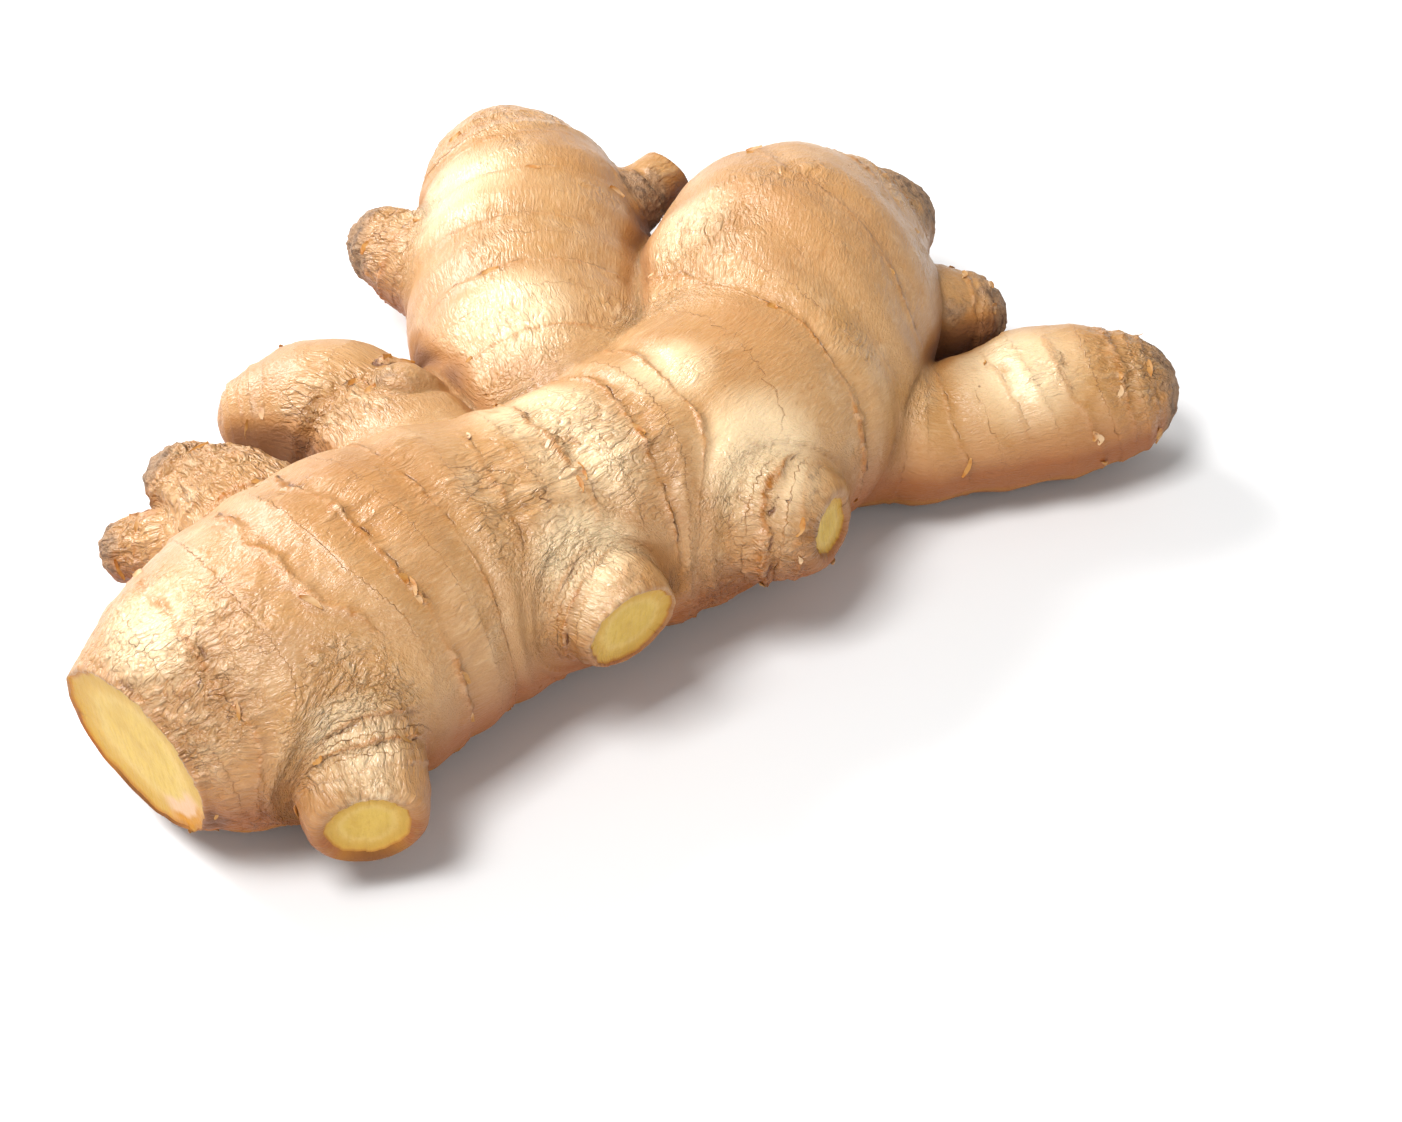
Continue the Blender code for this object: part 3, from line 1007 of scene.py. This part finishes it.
# %% Cork, specks and cracks
def cork_and_cracks(graph, read, colour):
    """Grey cork on dry ends, dark specks, and thin cracks where the skin is crumpled."""
    read.cork = (read.dry + (read.blotches - 0.5) * 1.4).step(0.3, 0.7)
    mottled = graph.noise(read.place, 1.8, 3.0, 0.7).step(0.42, 0.66)
    colour = mixed(graph, read.cork * 0.9, colour, mixed(graph, mottled, CORK, GREY_CORK))
    cells = graph.node("ShaderNodeTexVoronoi", {}, {
        "Vector": graph.stretched(read.place, 1 / 4.5), "Scale": 1.0}, "Distance")
    speck = cells.step(0.07, 0.03) * read.blotches.step(0.5, 0.55)
    colour = mixed(graph, speck * 0.6, colour, BROWN)
    crack = abs(graph.noise(read.around, 3.2, 2.0, 0.55, along=read.along / 11.0) - 0.5)
    crack = crack.step(0.012, 0.004) * graph.noise(read.place, 8.0, 1.0).step(0.55, 0.62)
    read.crack = crack * read.patch
    return mixed(graph, read.crack * 0.7, colour, BROWN)


# %% The skin's material
def paint_skin(material):
    """Puts the skin's layers together: colour, roughness, bump, a little light let in."""
    graph, shader, place = opened(material)
    read = skin_readings(graph, place)
    colour = ground_colour(graph, read)
    for layer in (silk_folds, growth_rings, shaded_places, cork_and_cracks):
        colour = layer(graph, read, colour)
    graph.feed(shader.inputs["Base Color"], colour)

    grain = graph.noise(place, 0.5, 2.0, 0.6)
    rough = (0.35 - read.pale * 0.06 + (read.clouds - 0.5) * 0.2 + (grain - 0.5) * 0.12
             + (read.fibres - 0.5) * 0.2 + read.cork * 0.3 + read.nook.step(0.1, 0.5) * 0.35
             + read.under * 0.3)
    graph.feed(shader.inputs["Roughness"], rough.clamped())
    height = (read.silk * read.patch * 3.2 + read.crinkle * (read.patch * 1.3 + 0.22)
              + read.fibres * 0.2 + grain * 0.05 + read.lip * 0.2 - read.thread * 0.3
              - read.crack * 0.3 + read.cork * graph.noise(place, 1.2, 3.0, 0.7) * 0.6)
    bump(graph, shader, height)
    let_light_in(shader, 0.08, (1.0, 0.5, 0.22), 2.5)
    shader.inputs["Specular IOR Level"].default_value = 0.7


paint_skin(ginger_skin)
print("ginger_skin nodes:", len(ginger_skin.node_tree.nodes))

# %% [markdown]
# ## Flesh
# Fresh ginger flesh is pale yellow, wet and fibrous. A thin paler ring parts the core from the
# outer flesh, fibre ends show as dots, and the edge just under the skin is a darker gold. Light
# passes a little way into it, which is what subsurface scattering is for.

# %% The flesh's material
CORE = tint(222, 186, 92)          # from the middle out
PALE_RING = tint(234, 212, 140)
FLESH = tint(220, 178, 88)
OUTER_FLESH = tint(202, 158, 70)
FLESH_EDGE = tint(184, 126, 54)
MEMBRANE = tint(232, 190, 158)     # torn skin at the big cut, and the stain beside it
STAINED = tint(206, 140, 36)
PEELED_AT = (-71, -85, 11)     # where a membrane peels off the big cut's rim


def paint_flesh(material):
    """Core, pale ring, outer flesh and edge, by the way across the cut, with fibre dots."""
    graph, shader, place = opened(material)
    across = attribute(graph, "across")
    wobble = (graph.noise(place, 5.0, 2.0) - 0.5) * 0.16
    radius = across + wobble
    streaks = graph.noise(graph.vectors("MULTIPLY", place, (1.4, 1.4, 0.35)), 1.0, 3.0, 0.6)
    dots = graph.node("ShaderNodeTexVoronoi", {}, {
        "Vector": graph.stretched(place, 1 / 0.9), "Scale": 1.0}, "Distance")
    peeled = graph.vectors("DISTANCE", place, PEELED_AT).step(8.0, 4.5)
    colour = mixed(graph, radius.step(0.5, 0.66), CORE, FLESH)
    for amount, paint in (
            (graph.noise(place, 6.0, 3.0).step(0.4, 0.7) * 0.5, OUTER_FLESH),
            (radius.step(0.66, 0.92) * 0.7, OUTER_FLESH),
            (radius.bell(0.63, 0.09) * 0.3, PALE_RING),
            (streaks.step(0.45, 0.7) * 0.45, OUTER_FLESH), (dots.step(0.3, 0.1) * 0.3, OUTER_FLESH),
            (across.bell(0.0, 0.06) * 0.5, OUTER_FLESH),
            (peeled * across.step(0.6, 0.72) * 0.8, MEMBRANE),
            (peeled * across.step(0.82, 0.9), STAINED),
            ((across + wobble * 0.4).step(0.93, 1.0), FLESH_EDGE)):
        colour = mixed(graph, amount, colour, paint)
    graph.feed(shader.inputs["Base Color"], colour)
    graph.feed(shader.inputs["Roughness"], 0.36 + graph.noise(place, 2.0, 2.0) * 0.2)
    bump(graph, shader, graph.noise(place, 0.7, 3.0, 0.65) * 0.12 + streaks * 0.25)
    let_light_in(shader, 0.3, (1.0, 0.7, 0.25), 4)
    shader.inputs["Specular IOR Level"].default_value = 0.2


ginger_flesh = bpy.data.materials.new("ginger_flesh")
paint_flesh(ginger_flesh)
skin.materials.append(ginger_flesh)
print("ginger_flesh nodes:", len(ginger_flesh.node_tree.nodes))

# %% The root as a piece
root = added("ginger_root_skin", skin)
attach(root, BODY)
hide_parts(NODE)
print("ginger_root_skin wears", [material.name for material in skin.materials])

# %% [markdown]
# ## Papery scales
# What is left of the leaf scales hangs on the rings as small dry flakes. One flake is drawn as a
# thin closed plate that lifts at its free edge. Geometry Nodes scatters it along the rings, turns
# each copy so that it lies across the growth, and varies its size and tilt.

# %% One flake
def flake_mesh(length=1.5, width=1.1, thickness=0.12, lift=0.42):
    """A curled plate, its root edge just behind y = 0 and its free edge lifted, in mm."""
    columns, rows = 5, 3
    top = []
    for row in np.linspace(0, 1, rows):
        for column in np.linspace(-1, 1, columns):
            reach = width * (1 - 0.7 * column ** 2)
            top.append((column * length, row * reach - 0.25,
                        lift * row ** 1.5 + 0.05 * math.sin(4 * column + 3 * row)))
    bottom = [(x, y, z - thickness) for x, y, z in top]
    count = len(top)
    faces = []             # the plate's two sides, then the wall round its edge
    for row in range(rows - 1):
        for column in range(columns - 1):
            a = row * columns + column
            quad = (a, a + 1, a + columns + 1, a + columns)
            faces.append(quad)
            faces.append(tuple(i + count for i in reversed(quad)))
    edge = (list(range(columns)) + [columns * row + columns - 1 for row in range(1, rows)]
            + [count - 2 - i for i in range(columns - 1)]
            + [columns * row for row in range(rows - 2, 0, -1)])
    for a, b in zip(edge, edge[1:] + edge[:1]):
        faces.append((a, a + count, b + count, b))
    mesh = bpy.data.meshes.new("flake")
    mesh.from_pydata(top + bottom, [], faces)
    return mesh


# %% The scattering tree
def flakes_tree():
    """Scatters the flake along the rings and the cut edges."""
    graph = Graph(bpy.data.node_groups.new("scatter_flakes", "GeometryNodeTree"))
    surface = graph.input("Skin", "NodeSocketGeometry", None)
    flake = graph.input("Flake", "NodeSocketObject", None)
    density = graph.input("Flakes per square metre", "NodeSocketFloat", 1.0)
    size = graph.input("Flake scale", "NodeSocketFloat", 1.0)
    seed = graph.input("Seed", "NodeSocketInt", 0)
    look = graph.input("Material", "NodeSocketMaterial", None)

    on_ring = abs(graph.stored("ring_gap") + 0.3).step(0.9, 0.2) * graph.stored("ring_firm")
    wanted = (on_ring + graph.stored("collar") * 0.25) * graph.stored("flake_room")
    scatter = graph.tree.nodes.new("GeometryNodeDistributePointsOnFaces")
    for name, value in (("Mesh", surface), ("Density", wanted * density), ("Seed", seed)):
        graph.feed(scatter.inputs[name], value)
    normal = Wire(graph, scatter.outputs["Normal"])

    def random(low, high):
        return graph.node("FunctionNodeRandomValue", {"data_type": "FLOAT_VECTOR"},
                          {0: low, 1: high, "Seed": seed})

    # The plate's Z goes along the skin's normal and its Y along the growth.
    upright = graph.node("FunctionNodeAlignRotationToVector", {"axis": "Z"}, {"Vector": normal})
    across = graph.node("FunctionNodeAlignRotationToVector", {"axis": "Y", "pivot_axis": "Z"},
                        {"Rotation": upright, "Vector": graph.stored("way", "FLOAT_VECTOR")})
    tilt = random((-0.25, -0.2, -0.5), (0.25, 0.2, 0.5))
    tilt = graph.node("FunctionNodeEulerToRotation", {}, [tilt])
    turned = graph.node("FunctionNodeRotateRotation", {"rotation_space": "LOCAL"}, [across, tilt])
    grow = random((0.4, 0.4, 0.5), (1.4, 1.0, 1.1))
    shape = graph.node("GeometryNodeObjectInfo", {}, {"Object": flake}, "Geometry")
    placed = graph.node("GeometryNodeInstanceOnPoints", {}, {
        "Points": Wire(graph, scatter.outputs["Points"]), "Instance": shape,
        "Rotation": turned, "Scale": graph.stretched(grow, size)})
    return graph.finish("Flakes", placed, look)


# %% Papery material
def paint_scale(material):
    """Gold, ring gold and cream, with dark torn spots."""
    graph, shader, place = opened(material)
    tone = graph.noise(place, 2.6, 3.0, 0.6)
    colour = mixed(graph, tone.step(0.35, 0.55), RING_GOLD, GOLD)
    colour = mixed(graph, graph.noise(place, 5.0, 2.0).step(0.5, 0.65) * 0.8, colour, CREAM)
    colour = mixed(graph, tone.step(0.36, 0.28) * 0.8, colour, BROWN)
    graph.feed(shader.inputs["Base Color"], colour)
    graph.feed(shader.inputs["Roughness"], 0.38 + tone * 0.2)


papery_scale = bpy.data.materials.new("papery_scale")
paint_scale(papery_scale)
print("papery_scale nodes:", len(papery_scale.node_tree.nodes))

# %% Scatter the flakes
ROOM = 2.5             # flakes keep this far from the sides of the root's box and the table
bare = np.empty(len(skin.vertices))
skin.attributes["across"].data.foreach_get("value", bare)
inside = (places(skin) / MM > root_low + ROOM) & (places(skin) / MM < root_high - ROOM)
store(skin, "flake_room", (inside.all(1) & (bare == 0)).astype(float))
flake = added("flake", flake_mesh())
scales = collected(skin.copy(), flakes_tree(), {
    "Flake": flake, "Flakes per square metre": 50000.0, "Flake scale": MM, "Seed": 3,
    "Material": papery_scale})
print("flakes:", len(scales.polygons) // len(flake.data.polygons), "faces:", len(scales.polygons))
bpy.data.objects.remove(flake)
flakes = added("scale_flakes", scales)
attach(flakes, BODY)

# %% [markdown]
# ## Floor, light and camera
# A pale floor and large soft lamps, the main one high on the left, as for food on a white table.

# %% Floor
TABLE = 6              # metres across


def floor():
    """A pale matt table top."""
    bpy.ops.mesh.primitive_plane_add(size=TABLE)
    plane = bpy.context.object
    plane.name = "floor"
    pale_table = bpy.data.materials.new("pale_table")
    pale_table.use_nodes = True
    shader = pale_table.node_tree.nodes["Principled BSDF"]
    shader.inputs["Base Color"].default_value = (0.82, 0.82, 0.82, 1)
    shader.inputs["Roughness"].default_value = 0.6
    plane.data.materials.append(pale_table)


floor()
print("table top:", TABLE, "m across")

# %% Lamps
LOOK_AT = Vector((9, -31, 16)) * MM


def lamp(name, place, size, power):
    """A square soft lamp, placed in metres from what the camera looks at, and aimed at it."""
    light = bpy.data.lights.new(name, "AREA")
    light.size = size
    light.energy = power
    holder = added(name, light)
    holder.location = LOOK_AT + Vector(place)
    holder.rotation_euler = (-Vector(place)).to_track_quat("-Z", "Y").to_euler()


lamp("window", (-0.64, 0.58, 0.55), 0.45, 10.5)
lamp("overhead", (-0.34, -0.28, 0.90), 0.4, 9.5)
lamp("front_fill", (0.4, -1.0, 0.6), 0.9, 3.6)
studio = bpy.data.worlds.new("studio")
studio.use_nodes = True
air = studio.node_tree.nodes["Background"]
air.inputs["Color"].default_value = (1, 1, 1, 1)
air.inputs["Strength"].default_value = 0.32
bpy.context.scene.world = studio
bpy.context.scene.view_settings.view_transform = "Standard"
print("lamps:", [light.name for light in bpy.data.lights])

# %% Camera
CAMERA_HEIGHT = math.radians(42)
CAMERA_AWAY = 539.6 * MM
camera = added("camera", bpy.data.cameras.new("camera"))
camera.data.lens = 85
camera.data.sensor_width = 36
camera.data.clip_end = 20
back = Vector((0, -math.cos(CAMERA_HEIGHT), math.sin(CAMERA_HEIGHT)))
camera.location = LOOK_AT + back * CAMERA_AWAY
camera.rotation_euler = (-back).to_track_quat("-Z", "Y").to_euler()
bpy.context.scene.camera = camera
print("camera at", [round(metres, 3) for metres in camera.location])
